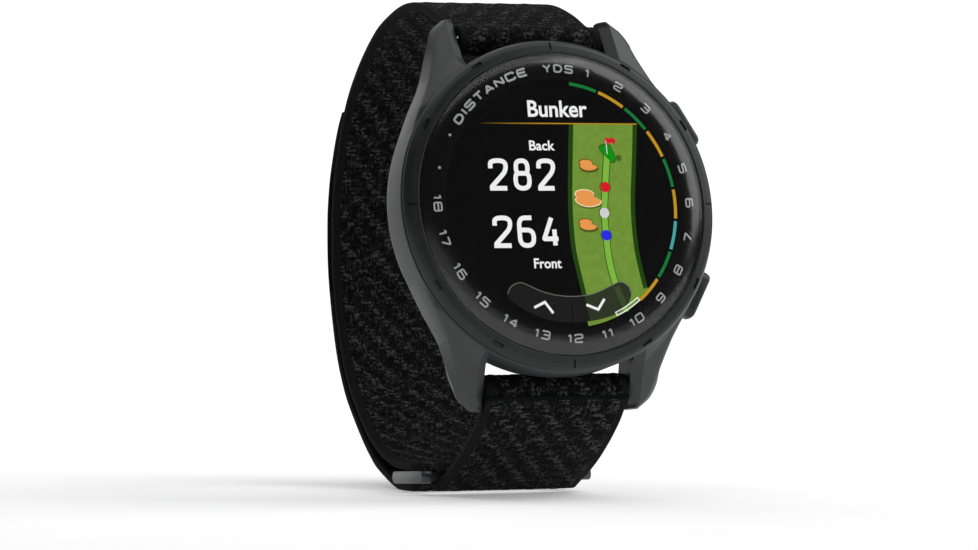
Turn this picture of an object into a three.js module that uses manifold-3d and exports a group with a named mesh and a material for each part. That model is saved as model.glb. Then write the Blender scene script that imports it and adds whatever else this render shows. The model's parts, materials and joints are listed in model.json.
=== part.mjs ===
// A golf gps watch standing on its closed strap, as an assembly of its separate pieces.
// Millimetres, +Z up, +X towards 3 o'clock. The face looks towards -Y and leans back.
// The origin is where the strap's underside rests on the table.

import * as THREE from 'three';
import { mergeVertices } from 'three/addons/utils/BufferGeometryUtils.js';
import Module from 'manifold-3d';

const wasm = await Module();
wasm.setup();

// ---------------------------------------------------------------- driving dimensions

const CLEARANCE = 0.25; // between pieces that touch
const LEAN = THREE.MathUtils.degToRad(10.95); // how far the face leans back
const FACE_BACK = -29.3; // the face's centre, from the strap's resting point
const FACE_UP = 37.9;

const CASE_RADIUS = 21.5;
const CASE_BORE = 19.3;
const CASE_TOP = -1.7; // heights in the head run along the face's normal, 0 at the bezel's ticks
const CASE_WAIST = -6.5; // below this the wall tapers
const CASE_BOTTOM = -8.7;
const CASE_BOTTOM_RADIUS = 20.3;
const BACK_HEIGHT = -10.45; // the outermost point of the back

const LENS_RADIUS = 19.6;
const LENS_RIM_TOP = 0.35;
const LENS_CROWN = 0.9;
const LENS_BOTTOM = -0.5;
const DISPLAY_RADIUS = 16.6;
const DISPLAY_THICKNESS = 0.9;

const LUG_GAP = 10.2; // half the gap that the strap fits in
const LUG_TIP = 25.3;
const BAR_ACROSS = 22.8; // the spring bars, from the centre
const BAR_HEIGHT = -7.6;

const BUTTON_ANGLE = 30; // degrees either side of 3 o'clock
const BUTTON_FACE = 23.3;
const BUTTON_FOOT = 21.2;
const BUTTON_LENGTH = 6.6;
const BUTTON_HEIGHT = 3.0;
const BUTTON_CENTRE = -4.2;
const STEM_RADIUS = 0.7;
const STEM_END = 18.55;

const SCREW_CIRCLE = 15.9;
const BOARD_RADIUS = 17.2;

const STRAP_WIDTH = 19.9;
const STRAP_THICKNESS = 1.2;
const EYE_RADIUS = 2.1; // the strap's end rolled round a spring bar
const EYE_BORE = 0.95;
const TUBE_RADIUS = 0.75;
const PIN_RADIUS = 0.4;

const RING_FRONT = new THREE.Vector2(18.6, -35.5); // the ring's two bars, back and up from the face
const RING_REAR = new THREE.Vector2(27.3, -35.95);
const RING_BAR_RADIUS = 0.6;
const RING_EYE_BORE = 0.75;
const RING_EYE_RADIUS = RING_EYE_BORE + STRAP_THICKNESS;
const RAIL_RADIUS = 0.8;
const RAIL_INNER = 10.55;
const RAIL_OUTER = 12.05;

const ROUND = 72; // sides of the large round pieces
const MEDIUM_ROUND = 40;
const SMALL_ROUND = 12;

// ---------------------------------------------------------------- materials

const finish = (color, roughness, metalness = 0) => () =>
  new THREE.MeshStandardMaterial({ color, roughness, metalness });

const caseResin = finish(0x505153, 0.6);
const bezelMetal = finish(0x303133, 0.4, 0.8);
const clearGlass = finish(0x0a0a0b, 0.06);
const blackFilm = finish(0x080808, 0.5);
const screenGlass = finish(0x101214, 0.15);
const framePlastic = finish(0x2a2a2c, 0.7);
const steel = finish(0xb4b5b8, 0.3, 1);
const gold = finish(0xc8a45a, 0.3, 1);
const circuitGreen = finish(0x16482e, 0.6);
const batteryFoil = finish(0x9a9ca0, 0.45, 0.6);
const rubber = finish(0x151515, 0.85);
const weave = finish(0x141415, 0.95);
const hooks = finish(0x1a1a1b, 0.95);
const ringMetal = finish(0x5a5b5d, 0.4, 0.8);

// ---------------------------------------------------------------- geometry helpers

const radians = THREE.MathUtils.degToRad;
const point = (x, y) => new THREE.Vector2(x, y);
const points = (pairs) => pairs.map(([x, y]) => point(x, y));

/** Merges shared corners and drops the slivers that collapse, so that the surface is closed. */
function closed(geometry) {
  const bare = new THREE.BufferGeometry();
  bare.setAttribute('position', geometry.getAttribute('position').clone());
  if (geometry.index) bare.setIndex(geometry.index.clone());
  const merged = mergeVertices(bare, 1e-5);
  const index = merged.index.array;
  const kept = [];
  for (let i = 0; i < index.length; i += 3) {
    const [a, b, c] = [index[i], index[i + 1], index[i + 2]];
    if (a !== b && b !== c && c !== a) kept.push(a, b, c);
  }
  merged.setIndex(kept);
  return merged;
}

function toSolid(geometry) {
  const tidy = closed(geometry);
  return new wasm.Manifold(
    new wasm.Mesh({
      numProp: 3,
      vertProperties: new Float32Array(tidy.getAttribute('position').array),
      triVerts: new Uint32Array(tidy.index.array),
    }),
  );
}

function fromSolid(solid) {
  const mesh = solid.getMesh();
  const geometry = new THREE.BufferGeometry();
  geometry.setAttribute('position', new THREE.BufferAttribute(mesh.vertProperties, 3));
  geometry.setIndex(new THREE.BufferAttribute(mesh.triVerts, 1));
  return geometry;
}

const joined = (geometries) => geometries.map(toSolid).reduce((all, next) => all.add(next));
const cut = (solid, geometries) =>
  geometries.reduce((left, tool) => left.subtract(toSolid(tool)), solid);

/** A turned piece about Z: its profile is [radius, height] pairs, with the outer wall going up. */
function turned(pairs, sides = ROUND) {
  const profile = points(pairs);
  if (pairs[0][0] > 0) profile.push(profile[0].clone());
  return new THREE.LatheGeometry(profile, sides).rotateX(Math.PI / 2);
}

const washer = (inner, outer, low, high, sides = ROUND) =>
  turned([[inner, low], [outer, low], [outer, high], [inner, high]], sides);

const disc = (radius, low, high, sides = ROUND) =>
  turned([[0, low], [radius, low], [radius, high], [0, high]], sides);

function box(low, high) {
  const size = high.map((value, axis) => value - low[axis]);
  const middle = high.map((value, axis) => (value + low[axis]) / 2);
  return new THREE.BoxGeometry(...size).translate(...middle);
}

/** An outline in X and Y, made solid between two heights. */
const plate = (shape, low, high) =>
  new THREE.ExtrudeGeometry(shape, { depth: high - low, bevelEnabled: false, curveSegments: 4 })
    .translate(0, 0, low);

/** An outline in Y and Z, made solid from one X to another. */
function across(shape, from, to, options = {}) {
  const settings = { depth: to - from, bevelEnabled: false, curveSegments: 4, ...options };
  const turn = new THREE.Matrix4().makeBasis(
    new THREE.Vector3(0, 1, 0),
    new THREE.Vector3(0, 0, 1),
    new THREE.Vector3(1, 0, 0),
  );
  return new THREE.ExtrudeGeometry(shape, settings).applyMatrix4(turn).translate(from, 0, 0);
}

/** A round rod along X. */
const rod = (radius, from, to, y = 0, z = 0, sides = SMALL_ROUND) =>
  new THREE.CylinderGeometry(radius, radius, to - from, sides)
    .rotateZ(Math.PI / 2)
    .translate((from + to) / 2, y, z);

function roundedRectangle(width, height, corner) {
  const [x, y] = [width / 2, height / 2];
  const shape = new THREE.Shape();
  shape.moveTo(corner - x, -y);
  shape.lineTo(x - corner, -y);
  shape.absarc(x - corner, corner - y, corner, -Math.PI / 2, 0);
  shape.lineTo(x, y - corner);
  shape.absarc(x - corner, y - corner, corner, 0, Math.PI / 2);
  shape.lineTo(corner - x, y);
  shape.absarc(corner - x, y - corner, corner, Math.PI / 2, Math.PI);
  shape.lineTo(-x, corner - y);
  shape.absarc(corner - x, corner - y, corner, Math.PI, 1.5 * Math.PI);
  return shape;
}

/** Points on an arc, from one angle to another in degrees. */
function arc(centre, radius, from, to, steps) {
  return Array.from({ length: steps + 1 }, (_, i) => {
    const angle = radians(from + ((to - from) * i) / steps);
    return point(centre.x + radius * Math.cos(angle), centre.y + radius * Math.sin(angle));
  });
}

/** Even points on a smooth curve through the given ones, about one every `step` millimetres. */
function smooth(pairs, step = 1.6) {
  const curve = new THREE.SplineCurve(points(pairs));
  return curve.getSpacedPoints(Math.round(curve.getLength() / step));
}

/** Moves each point of a path to the right of its direction. The distance may change on the way. */
function offset(path, distance) {
  return path.map((here, i) => {
    const before = path[Math.max(i - 1, 0)];
    const after = path[Math.min(i + 1, path.length - 1)];
    const along = after.clone().sub(before).normalize();
    const amount = typeof distance === 'function' ? distance(i / (path.length - 1)) : distance;
    return point(here.x + along.y * amount, here.y - along.x * amount);
  });
}

// ---------------------------------------------------------------- the assembly

const watch = new THREE.Group();
const head = new THREE.Group();
const strap = new THREE.Group();
head.position.set(0, FACE_BACK, FACE_UP);
head.rotation.x = Math.PI / 2 - LEAN;
strap.position.copy(head.position);
watch.add(head, strap);

function addPiece(name, geometry, material, parent = head) {
  const mesh = new THREE.Mesh(closed(geometry), material());
  mesh.name = name;
  parent.add(mesh);
  return mesh;
}

// ---------------------------------------------------------------- bezel, lens and display

const BEZEL_FOOT = -1.4;
const BEZEL_LEDGE = -0.95; // the lens sits on this
const HOURS = 12;

function bezelRing() {
  const ring = toSolid(
    turned([
      [18.9, BEZEL_FOOT],
      [20.9, BEZEL_FOOT],
      [20.9, -1.15],
      [21.35, -1.15],
      [CASE_RADIUS, -1.0],
      [CASE_RADIUS, -0.85],
      [21.2, -0.3],
      [20.7, 0],
      [20.0, LENS_RIM_TOP],
      [LENS_RADIUS + CLEARANCE, LENS_RIM_TOP - 0.05],
      [LENS_RADIUS + CLEARANCE, BEZEL_LEDGE],
      [18.9, BEZEL_LEDGE],
    ]),
  );
  const marks = Array.from({ length: HOURS }, (_, hour) => {
    const quarter = hour % 3 === 0;
    const mark = quarter
      ? box([20.1, -0.12, -0.15], [21.1, 0.12, 0.6])
      : box([20.5, -0.7, -0.2], [20.85, 0.7, 0.6]);
    return mark.rotateZ(radians(hour * 30));
  });
  return fromSolid(cut(ring, marks));
}

const lensProfile = [
  [0, LENS_BOTTOM],
  [LENS_RADIUS - 0.3, LENS_BOTTOM],
  [LENS_RADIUS, LENS_BOTTOM + 0.2],
  [LENS_RADIUS, LENS_RIM_TOP - 0.15],
  [19.3, 0.5],
  [18.3, 0.75],
  [16.5, LENS_CROWN],
  [0, LENS_CROWN],
];

const MASK_TOP = LENS_BOTTOM - 0.15;
const DISPLAY_TOP = LENS_BOTTOM - 0.2;
const DISPLAY_FOOT = DISPLAY_TOP - DISPLAY_THICKNESS;

addPiece('bezel_ring', bezelRing(), bezelMetal);
addPiece('cover_lens', turned(lensProfile), clearGlass);
addPiece('lens_mask', washer(16.85, 19.4, MASK_TOP - 0.15, MASK_TOP, MEDIUM_ROUND), blackFilm);
addPiece('display_panel', disc(DISPLAY_RADIUS, DISPLAY_FOOT, DISPLAY_TOP, MEDIUM_ROUND), screenGlass);

// ---------------------------------------------------------------- inside the case

const FRAME_TOP = DISPLAY_FOOT - CLEARANCE;
const FRAME_FLOOR = FRAME_TOP - 0.6;
const FRAME_FOOT = -6.5;
const BOARD_TOP = -5.6;
const BOARD_FOOT = -6.3;

/** The plastic frame under the display: a floor with a rim, open at the two side switches. */
function midFrame() {
  const cup = toSolid(
    turned(
      [
        [0, FRAME_FLOOR],
        [17.8, FRAME_FLOOR],
        [17.8, FRAME_FOOT],
        [18.6, FRAME_FOOT],
        [18.6, FRAME_TOP],
        [0, FRAME_TOP],
      ],
      MEDIUM_ROUND,
    ),
  );
  const windows = [1, -1].map((side) =>
    box([15, -3, FRAME_FOOT - 1], [20, 3, FRAME_FLOOR - 0.1]).rotateZ(radians(side * BUTTON_ANGLE)),
  );
  return fromSolid(cut(cup, windows));
}

function antennaStrip() {
  const outline = new THREE.Shape([
    ...arc(point(0, 0), 17.4, 55, 125, 14),
    ...arc(point(0, 0), 16.3, 125, 55, 14),
  ]);
  return plate(outline, -4.9, FRAME_FLOOR - CLEARANCE);
}

/** A round board with a bite out of its rim for each side switch. */
function mainBoard() {
  const board = toSolid(disc(BOARD_RADIUS, BOARD_FOOT, BOARD_TOP, MEDIUM_ROUND));
  const bites = [1, -1].map((side) =>
    box([15.9, -2.4, BOARD_FOOT - 1], [20, 2.4, BOARD_TOP + 1]).rotateZ(radians(side * BUTTON_ANGLE)),
  );
  return fromSolid(cut(board, bites));
}

addPiece('mid_frame', midFrame(), framePlastic);
addPiece('gps_antenna', antennaStrip(), gold);
addPiece('battery', plate(roundedRectangle(21, 18, 1.5), -5.3, FRAME_FLOOR - CLEARANCE), batteryFoil)
  .position.set(-3.2, 0, 0);
addPiece('vibration_motor', rod(1.25, -4.5, 4.5).rotateZ(Math.PI / 2), steel).position.set(12, 0, -4.1);
addPiece('main_board', mainBoard(), circuitGreen);
addPiece('board_shield', plate(roundedRectangle(15, 13, 1), -7.6, BOARD_FOOT - CLEARANCE), steel);

// ---------------------------------------------------------------- case with its four lugs

/** One lug: its outline seen from the front, cut by its outline seen from the side. */
function lug(sideways, upwards) {
  const plan = new THREE.Shape(
    points([
      [LUG_GAP, 14],
      [LUG_GAP, LUG_TIP],
      [12.6, 24.7],
      [13.5, 23.3],
      [14.3, 21],
      [15, 18.6],
      [15.8, 16.8],
      [16.6, 15.3],
      [17.5, 13.7],
      [18.2, 12.1],
      [18.9, 10.3],
      [16, 10],
    ]).map((corner) => corner.multiply(point(sideways, upwards))),
  );
  const profile = new THREE.Shape(
    points([
      [9, -1.9],
      [16.2, -1.9],
      [19.4, -3.45],
      [25.1, -6.2],
      [LUG_TIP + 0.1, -6.7],
      [LUG_TIP + 0.1, -8.2],
      [24.5, -9.3],
      [20.5, -9.2],
      [18.5, CASE_BOTTOM],
      [9, CASE_BOTTOM],
    ]).map((corner) => corner.multiply(point(upwards, 1))),
  );
  const tall = toSolid(plate(plan, -12, 0));
  return tall.intersect(toSolid(across(profile, -30, 30)));
}

const SCREWS = [45, 135, 225, 315];
const BOSS_TOP = -6.75;
const BOSS_FOOT = -8.0;

function screwBoss(angle) {
  const outline = new THREE.Shape([
    ...arc(point(SCREW_CIRCLE, 0), 1.5, 90, 270, 8),
    point(CASE_BORE + 0.6, -1.5),
    point(CASE_BORE + 0.6, 1.5),
  ]);
  return plate(outline, BOSS_FOOT, BOSS_TOP).rotateZ(radians(angle));
}

function buttonPocket(side) {
  const mouth = roundedRectangle(BUTTON_LENGTH + 0.5, BUTTON_HEIGHT + 0.5, 1.2);
  const tools = [across(mouth, 20.5, 26), rod(1.25, 18, 21)];
  return tools.map((tool) => tool.translate(0, 0, BUTTON_CENTRE).rotateZ(radians(side * BUTTON_ANGLE)));
}

function caseBody() {
  let body = toSolid(
    turned([
      [18.3, CASE_BOTTOM],
      [CASE_BOTTOM_RADIUS, CASE_BOTTOM],
      [CASE_RADIUS, CASE_WAIST],
      [CASE_RADIUS, CASE_TOP - 0.15],
      [CASE_RADIUS - 0.15, CASE_TOP],
      [CASE_BORE, CASE_TOP],
      [CASE_BORE, -7.6],
      [18.3, -7.9],
    ]),
  );
  for (const sideways of [1, -1]) {
    for (const upwards of [1, -1]) {
      body = body.add(lug(sideways, upwards));
    }
  }
  body = cut(body, [disc(CASE_BORE, -7.6, 3), disc(18.3, -12, -7.5)]);
  SCREWS.forEach((angle) => {
    body = body.add(toSolid(screwBoss(angle)));
  });
  const screwHoles = SCREWS.map((angle) =>
    disc(0.6, BOSS_FOOT - 1, BOSS_TOP + 1, 8).translate(SCREW_CIRCLE, 0, 0).rotateZ(radians(angle)),
  );
  const strapRooms = [1, -1].map((upwards) =>
    rod(EYE_RADIUS + CLEARANCE, -LUG_GAP, LUG_GAP, upwards * BAR_ACROSS, BAR_HEIGHT, 24),
  );
  const barHoles = [1, -1].map((upwards) =>
    rod(0.5, -LUG_GAP - 1.5, LUG_GAP + 1.5, upwards * BAR_ACROSS, BAR_HEIGHT),
  );
  return fromSolid(
    cut(body, [...buttonPocket(1), ...buttonPocket(-1), ...screwHoles, ...strapRooms, ...barHoles]),
  );
}

addPiece('case_body', caseBody(), caseResin);

// ---------------------------------------------------------------- back, sensor and charging socket

const COVER_TOP = CASE_BOTTOM - 0.2;
const WINDOW_RADIUS = 5.4;
const SOCKET_ACROSS = -10.6;
const SOCKET_WIDTH = 7.6;
const SOCKET_HEIGHT = 3.0;
const HEAD_RADIUS = 1.1;
const PIN_PLACES = [-2.1, -0.7, 0.7, 2.1];

function backCover() {
  const shell = toSolid(
    turned([
      [WINDOW_RADIUS, BACK_HEIGHT + 0.1],
      [12.6, BACK_HEIGHT + 0.1],
      [16.8, -9.75],
      [19.6, -9.35],
      [20.15, COVER_TOP],
      [19.3, COVER_TOP],
      [19.3, COVER_TOP - 0.25],
      [18.6, COVER_TOP - 0.25],
      [18.6, COVER_TOP],
      [18.05, COVER_TOP],
      [18.05, -8.2],
      [17.6, -8.2],
      [17.6, -8.75],
      [WINDOW_RADIUS, -9.4],
    ], MEDIUM_ROUND),
  );
  const screwRecesses = SCREWS.flatMap((angle) =>
    [disc(0.7, -12, -8, 8), disc(HEAD_RADIUS + 0.15, -12, -9.35, SMALL_ROUND)].map((tool) =>
      tool.translate(SCREW_CIRCLE, 0, 0).rotateZ(radians(angle)),
    ),
  );
  const socketHole = plate(roundedRectangle(SOCKET_WIDTH + 0.3, SOCKET_HEIGHT + 0.3, 1.6), -12, -8)
    .translate(0, SOCKET_ACROSS, 0);
  return fromSolid(cut(shell, [...screwRecesses, socketHole]));
}

/** A small insert, hollow towards the back, with a hole for each pin. */
function chargeSocket() {
  const block = toSolid(
    plate(roundedRectangle(SOCKET_WIDTH, SOCKET_HEIGHT, 1.45), BACK_HEIGHT + 0.15, -8.6),
  );
  const well = plate(roundedRectangle(SOCKET_WIDTH - 1, SOCKET_HEIGHT - 1, 0.95), -12, -9.6);
  const holes = PIN_PLACES.map((x) => disc(0.45, -12, -8, 8).translate(x, 0, 0));
  return fromSolid(cut(block, [well, ...holes]));
}

function backScrew() {
  const body = joined([disc(0.5, -9.6, -7.0, 8), disc(HEAD_RADIUS, -9.85, -9.45, SMALL_ROUND)]);
  return cut(body, [
    box([-0.75, -0.15, -11], [0.75, 0.15, -9.68]),
    box([-0.15, -0.75, -11], [0.15, 0.75, -9.68]),
  ]);
}

const windowProfile = [
  [0, BACK_HEIGHT],
  [3.6, BACK_HEIGHT],
  [WINDOW_RADIUS - 0.4, BACK_HEIGHT + 0.15],
  [WINDOW_RADIUS - 0.2, BACK_HEIGHT + 0.4],
  [WINDOW_RADIUS - 0.2, -9.55],
  [0, -9.55],
];

addPiece('back_cover', backCover(), framePlastic);
addPiece('back_gasket', washer(18.7, 19.2, COVER_TOP - 0.15, COVER_TOP + 0.1, MEDIUM_ROUND), rubber);
addPiece('sensor_window', turned(windowProfile, MEDIUM_ROUND), clearGlass);
addPiece('sensor_board', disc(6, -9.1, -8.5, SMALL_ROUND), circuitGreen);
const socket = new THREE.Group();
socket.position.y = SOCKET_ACROSS;
head.add(socket);
addPiece('charge_socket', chargeSocket(), blackFilm, socket);
PIN_PLACES.forEach((x, i) => {
  addPiece(`charge_pin_${i + 1}`, disc(0.3, -10.0, -8.7, 8), gold, socket).position.x = x;
});
SCREWS.forEach((angle, i) => {
  const place = new THREE.Group();
  place.rotation.z = radians(angle);
  head.add(place);
  addPiece(`back_screw_${i + 1}`, fromSolid(backScrew()), steel, place).position.x = SCREW_CIRCLE;
});

// ---------------------------------------------------------------- the two side buttons

function buttonCap() {
  const bevel = 0.45;
  const cap = across(
    roundedRectangle(BUTTON_LENGTH, BUTTON_HEIGHT, 1.1),
    BUTTON_FOOT + bevel,
    BUTTON_FACE - bevel,
    { bevelEnabled: true, bevelThickness: bevel, bevelSize: bevel, bevelOffset: -bevel, bevelSegments: 1 },
  );
  return fromSolid(joined([cap, rod(STEM_RADIUS, STEM_END, BUTTON_FOOT + 0.3)]));
}

/** A flat ring about X, between two distances from the watch's centre. */
const collar = (inner, outer, from, to) =>
  washer(inner, outer, from, to, SMALL_ROUND).rotateY(Math.PI / 2);

function retainingClip() {
  const opening = box([18, -0.45, 0], [20, 0.45, 3]);
  return fromSolid(cut(toSolid(collar(0.85, 1.5, 18.9, 19.15)), [opening]));
}

function sideSwitch() {
  const housing = box([16.1, -1.9, -1], [17.5, 1.9, 1]);
  const plunger = box([17.3, -0.6, -0.5], [17.85, 0.6, 0.5]);
  return fromSolid(joined([housing, plunger]));
}

for (const [place, side] of [['upper', 1], ['lower', -1]]) {
  const group = new THREE.Group();
  group.position.z = BUTTON_CENTRE;
  group.rotation.z = radians(side * BUTTON_ANGLE);
  head.add(group);
  addPiece(`button_${place}`, buttonCap(), bezelMetal, group);
  addPiece(`button_seal_${place}`, collar(0.85, 1.1, 19.6, 20.2), rubber, group);
  addPiece(`button_clip_${place}`, retainingClip(), steel, group);
  addPiece(`side_switch_${place}`, sideSwitch(), framePlastic, group);
}

// ---------------------------------------------------------------- spring bars

const TUBE_END = 9.4;
const PIN_TIP = LUG_GAP + 1.2;
const PIN_INNER_END = 7.0;
const LEVER_X = 8.1;
const LEVER_REACH = 2.6;
const SPRING_END = 5.5;
const SPRING_TURNS = 7;

/** The tube that the pins slide in, slotted for the release lever. */
function barTube() {
  const tube = toSolid(collar(0.5, TUBE_RADIUS, -TUBE_END, TUBE_END));
  return fromSolid(cut(tube, [box([LEVER_X - 1.8, -0.45, -2], [LEVER_X + 0.4, 0.45, 0])]));
}

function barSpring() {
  class Helix extends THREE.Curve {
    getPoint(t, target = new THREE.Vector3()) {
      const angle = t * SPRING_TURNS * 2 * Math.PI;
      const x = THREE.MathUtils.lerp(-SPRING_END, SPRING_END, t);
      return target.set(x, 0.3 * Math.cos(angle), 0.3 * Math.sin(angle));
    }
  }
  const wire = new THREE.Shape(arc(point(0, 0), 0.1, 0, 360, 3).slice(1));
  const settings = { steps: SPRING_TURNS * 7, extrudePath: new Helix(), bevelEnabled: false };
  return new THREE.ExtrudeGeometry(wire, settings);
}

/** The pin that slides inwards, with the small lever that a fingernail pulls. */
function releasePin() {
  const lever = rod(0.3, 0, LEVER_REACH, 0, 0, 10).rotateY(Math.PI / 2).translate(LEVER_X, 0, 0);
  return fromSolid(joined([rod(PIN_RADIUS, PIN_INNER_END, PIN_TIP), lever]));
}

for (const [place, upwards] of [['upper', 1], ['lower', -1]]) {
  const bar = new THREE.Group();
  bar.position.set(0, upwards * BAR_ACROSS, BAR_HEIGHT);
  head.add(bar);
  addPiece(`${place}_bar_tube`, barTube(), steel, bar);
  addPiece(`${place}_bar_spring`, barSpring(), steel, bar);
  addPiece(`${place}_bar_plain_pin`, rod(PIN_RADIUS, -PIN_TIP, -PIN_INNER_END), steel, bar);
  addPiece(`${place}_bar_release_pin`, releasePin(), steel, bar);
}

// ---------------------------------------------------------------- strap
// Outlines in Y and Z from the face's centre, drawn along the outside of the loop.

/** The middle of a spring bar, seen from the side. */
const barPlace = (upwards) =>
  point(
    upwards * BAR_ACROSS * Math.sin(LEAN) - BAR_HEIGHT * Math.cos(LEAN),
    upwards * BAR_ACROSS * Math.cos(LEAN) + BAR_HEIGHT * Math.sin(LEAN),
  );

// The long strap's outer side, from the upper spring bar over the top and down inside its own end.
const longOuter = smooth([
  [14.6, 23.35], [18.6, 24.9], [23.5, 26.2], [27, 26.6], [30.4, 26.3], [34, 25.4], [38.4, 23.8],
  [41.8, 21.8], [45, 19.4], [47.6, 17], [49.5, 14.9], [51, 12.75], [52.6, 9.9], [53.9, 6.6],
  [55, 3], [55.7, -1], [55.85, -4.5], [55.6, -9], [54.5, -14.3], [52.4, -20], [49.7, -24.6],
  [46.5, -27.9], [43, -30.9], [39.6, -32.9], [36.2, -34.2], [33, -34.95], [30, -35.2], [27.8, -35.2],
]);

// The outer layer's outer side, from its free end down the back to the fold at its root.
const TAIL_FOLD = [41.4, -34.05];
const tailOuter = smooth([
  [51.9, 12.75], [53.3, 10.8], [54.6, 8.3], [55.9, 5.1], [56.8, 2.1], [57.4, -2.2], [57.2, -8.7],
  [55.9, -14.8], [53.8, -20.9], [50.9, -25.7], [47.6, -29.1], [44, -32.2], TAIL_FOLD,
]);

// The same layer from the fold to the ring.
// It ends in the flat that the watch stands on.
const rootOuter = [
  ...smooth([TAIL_FOLD, [39.3, -35.3], [35.2, -36.85], [32.3, -37.7], [30.7, -FACE_UP]]),
  point(RING_REAR.x, -FACE_UP),
];
const shortOuter = smooth([
  [2.3, -26.4], [3.9, -28.2], [6.6, -30.55], [9.8, -32.9], [13.1, -34.9], [16.2, -36.4],
]);

function longStrapOutline() {
  const eye = barPlace(1);
  const innerSide = offset(longOuter, STRAP_THICKNESS);
  const rootInner = offset(rootOuter, STRAP_THICKNESS);
  return new THREE.Shape([
    ...longOuter,
    ...arc(RING_REAR, RING_EYE_BORE, 90, 270, 8),
    ...rootInner.slice(0, -1).reverse(),
    ...rootOuter.slice(0, -1),
    ...arc(RING_REAR, RING_EYE_RADIUS, 270, 90, 12),
    ...innerSide.reverse(),
    ...arc(eye, EYE_RADIUS, 20, -300, 20),
  ]);
}

const HOOK_START = 0.16; // as shares of the free end's length
const HOOK_END = 0.5;
const TIP_THICKNESS = 0.35;
const THINNED = 0.65;

/** The free end: thin at its tip, and thinned where the hook patch is sewn on. */
function tailOutline() {
  const depth = (share) => {
    if (share < HOOK_START) return THREE.MathUtils.mapLinear(share, 0, HOOK_START, TIP_THICKNESS, THINNED);
    return share < HOOK_END + 0.02 ? THINNED : STRAP_THICKNESS;
  };
  const outer = tailOuter.slice(0, -1);
  const last = tailOuter.at(-2).clone().lerp(tailOuter.at(-1), 0.8);
  return new THREE.Shape([...outer, last, ...offset([...outer, last], depth).reverse()]);
}

function hookOutline() {
  const from = Math.ceil(tailOuter.length * (HOOK_START + 0.02));
  const to = Math.floor(tailOuter.length * HOOK_END);
  const near = offset(tailOuter, THINNED + 0.15).slice(from, to);
  const far = offset(tailOuter, STRAP_THICKNESS).slice(from, to);
  return new THREE.Shape([...near, ...far.reverse()]);
}

function shortStrapOutline() {
  const eye = barPlace(-1);
  return new THREE.Shape([
    ...arc(eye, EYE_RADIUS, 285, 575, 20),
    ...shortOuter,
    ...arc(RING_FRONT, RING_EYE_RADIUS, 255, 520, 18),
    ...offset(shortOuter, -STRAP_THICKNESS).reverse(),
  ]);
}

/** The metal ring: two rails joined by a bar at each end. */
function ring() {
  const along = RING_REAR.clone().sub(RING_FRONT);
  const tilt = THREE.MathUtils.radToDeg(along.angle());
  const rail = new THREE.Shape([
    ...arc(RING_REAR, RAIL_RADIUS, tilt - 90, tilt + 90, 8),
    ...arc(RING_FRONT, RAIL_RADIUS, tilt + 90, tilt + 270, 8),
  ]);
  return fromSolid(
    joined([
      across(rail, RAIL_INNER, RAIL_OUTER),
      across(rail, -RAIL_OUTER, -RAIL_INNER),
      rod(RING_BAR_RADIUS, -11, 11, RING_FRONT.x, RING_FRONT.y),
      rod(RING_BAR_RADIUS, -11, 11, RING_REAR.x, RING_REAR.y),
    ]),
  );
}

/** Room in a rolled end for the release pin's lever and its travel. */
const leverRoom = (upwards) =>
  box([LEVER_X - 1.8, -0.6, -4], [STRAP_WIDTH / 2 + 1, 0.6, 0])
    .rotateX(Math.PI / 2 - LEAN)
    .translate(0, barPlace(upwards).x, barPlace(upwards).y);

const HALF_WIDTH = STRAP_WIDTH / 2;

/** A hole right across the strap, for a bar. */
const barHole = (place, radius) => rod(radius, -HALF_WIDTH - 1, HALF_WIDTH + 1, place.x, place.y);

const wide = (outline) => across(outline, -HALF_WIDTH, HALF_WIDTH);

const longStrap = cut(toSolid(wide(longStrapOutline())), [barHole(barPlace(1), EYE_BORE), leverRoom(1)]);
const shortStrap = cut(toSolid(wide(shortStrapOutline())), [
  barHole(barPlace(-1), EYE_BORE),
  barHole(RING_FRONT, RING_EYE_BORE),
  leverRoom(-1),
]);
addPiece('strap_long', fromSolid(longStrap), weave, strap);
addPiece('strap_tail', wide(tailOutline()), weave, strap);
addPiece('hook_patch', across(hookOutline(), -HALF_WIDTH + 1, HALF_WIDTH - 1), hooks, strap);
addPiece('strap_short', fromSolid(shortStrap), weave, strap);
addPiece('strap_ring', ring(), ringMetal, strap);

export default watch;
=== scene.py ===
"""The look of a golf gps watch that stands on its closed woven strap.

Lengths are in millimetres. Points of the head are (across, up, out of the face) from the face's centre,
and points of the strap's side outline are (back, up) from the same centre, as in the CAD model.
"""

import json
import math

import bmesh
import bpy
import numpy as np
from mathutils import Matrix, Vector


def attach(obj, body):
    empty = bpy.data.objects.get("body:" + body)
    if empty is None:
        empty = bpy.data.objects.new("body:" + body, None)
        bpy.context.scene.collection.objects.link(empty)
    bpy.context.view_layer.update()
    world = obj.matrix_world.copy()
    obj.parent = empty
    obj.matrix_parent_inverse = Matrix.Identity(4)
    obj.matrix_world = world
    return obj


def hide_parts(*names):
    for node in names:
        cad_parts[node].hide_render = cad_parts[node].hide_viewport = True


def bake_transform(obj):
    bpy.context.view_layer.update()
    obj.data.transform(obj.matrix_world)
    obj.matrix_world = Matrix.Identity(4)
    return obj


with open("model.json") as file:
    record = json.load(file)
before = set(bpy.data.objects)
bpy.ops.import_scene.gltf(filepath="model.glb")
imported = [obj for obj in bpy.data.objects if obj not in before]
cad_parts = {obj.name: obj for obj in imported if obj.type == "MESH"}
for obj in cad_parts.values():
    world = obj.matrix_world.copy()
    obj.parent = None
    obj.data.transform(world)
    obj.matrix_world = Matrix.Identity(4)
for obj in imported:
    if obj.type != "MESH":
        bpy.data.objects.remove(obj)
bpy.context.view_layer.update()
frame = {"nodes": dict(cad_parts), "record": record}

# ------ sizes

MM = 0.001
BACK_DEPTH = 10.45  # from the face's centre to the outermost point of the back

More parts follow.
